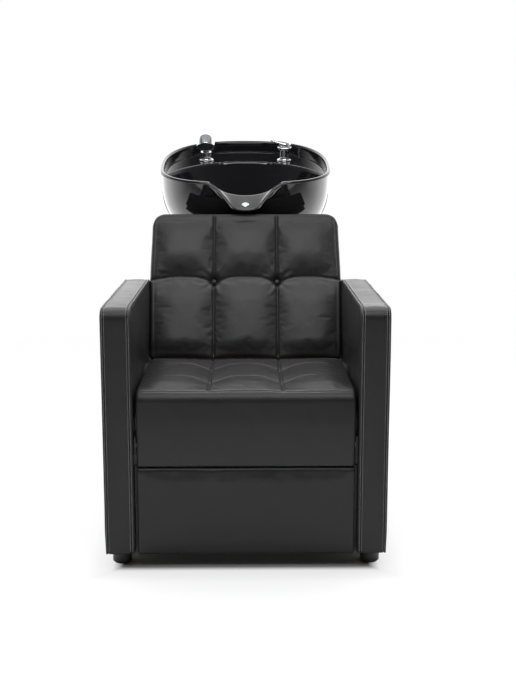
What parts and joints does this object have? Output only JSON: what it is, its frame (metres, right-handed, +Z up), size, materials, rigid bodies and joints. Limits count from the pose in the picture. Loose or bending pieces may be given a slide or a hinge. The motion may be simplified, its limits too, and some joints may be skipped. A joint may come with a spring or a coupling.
{
  "type": "hair washing bed",
  "caption": "Upholstered salon backwash chair with padded arms, a tufted reclined back and seat, and a deep oval ceramic basin behind it with a neck notch, hand shower and mixer.",
  "frame": {"origin": "on the floor under the middle of the whole unit's width and depth", "axes": "+X to the right of a person who looks at the chair from the front, +Y from the chair's front to the basin behind it, +Z up"},
  "size_m": [0.68, 1.1648, 1.0316],
  "materials": {
    "leatherette": "satin",
    "black_glaze": "gloss",
    "chrome": "polished",
    "spray_plastic": "matte",
    "black_plastic": "satin",
    "rubber": "matte",
    "timber": "matte",
    "black_board": "satin",
    "black_steel": "satin",
    "plain_steel": "satin"
  },
  "bodies": {
    "chair": {"access_panel": "black_board", "access_screws": "plain_steel", "arm_core_left": "timber", "arm_core_right": "timber", "arm_cover_left": "leatherette", "arm_cover_right": "leatherette", "arm_feet": "black_plastic", "back_board": "timber", "back_bracket_left": "black_steel", "back_bracket_right": "black_steel", "back_button_left": "leatherette", "back_button_right": "leatherette", "back_cushion": "leatherette", "back_rear_cover": "leatherette", "cabinet_front_panel": "black_board", "cabinet_side_left": "black_board", "cabinet_side_right": "black_board", "cabinet_top_left": "black_board", "cabinet_top_right": "black_board", "cross_rail_front": "black_steel", "cross_rail_rear": "black_steel", "floor_strip_left": "black_steel", "floor_strip_right": "black_steel", "frame_bolts": "plain_steel", "friction_washers": "rubber", "front_panel_board": "timber", "front_panel_cover": "leatherette", "panel_cleats": "black_board", "pivot_bolts": "plain_steel", "pivot_nuts": "plain_steel", "seat_board": "timber", "seat_cushion": "leatherette", "seat_front_board": "timber", "side_rail_left": "black_steel", "side_rail_right": "black_steel", "stop_rods": "plain_steel", "tilt_cheek_left": "black_steel", "tilt_cheek_right": "black_steel"},
    "basin_unit": {"basin": "black_glaze", "cradle_left": "black_steel", "cradle_right": "black_steel", "cradle_pads": "rubber", "neck_washer": "chrome", "neck_screw": "chrome", "neck_nut": "plain_steel", "waste_strainer": "chrome", "waste_gasket": "rubber", "waste_tail": "black_plastic", "waste_nut": "black_plastic", "mixer_body": "chrome", "mixer_nut": "plain_steel", "shower_collar": "chrome", "collar_nut": "plain_steel"},
    "mixer_top": {"mixer_cap": "chrome", "lever_pin": "plain_steel"},
    "lever": {"mixer_lever": "chrome"},
    "hand_shower": {"handset_grip": "chrome", "shower_head": "chrome", "spray_face": "spray_plastic", "hose_nut": "chrome"}
  },
  "joints": [
    {"name": "basin_tilt", "type": "hinge", "parent": "chair", "child": "basin_unit", "pos_m": [0, 0.34371, 0.6974], "axis": [-1, 0, 0], "range_deg": [0, 18]},
    {"name": "mixer_turn", "type": "hinge", "parent": "basin_unit", "child": "mixer_top", "pos_m": [0.125, 0.46897, 0.98866], "axis": [0, -0.2419, 0.9703], "range_deg": [-45, 45]},
    {"name": "mixer_lift", "type": "hinge", "parent": "mixer_top", "child": "lever", "pos_m": [0.125, 0.46556, 1.00234], "axis": [0, 0.9703, 0.2419], "range_deg": [0, 25]},
    {"name": "handset_lift", "type": "slide", "parent": "basin_unit", "child": "hand_shower", "axis": [0, -0.2419, 0.9703], "range_m": [0, 0.16]}
  ]
}
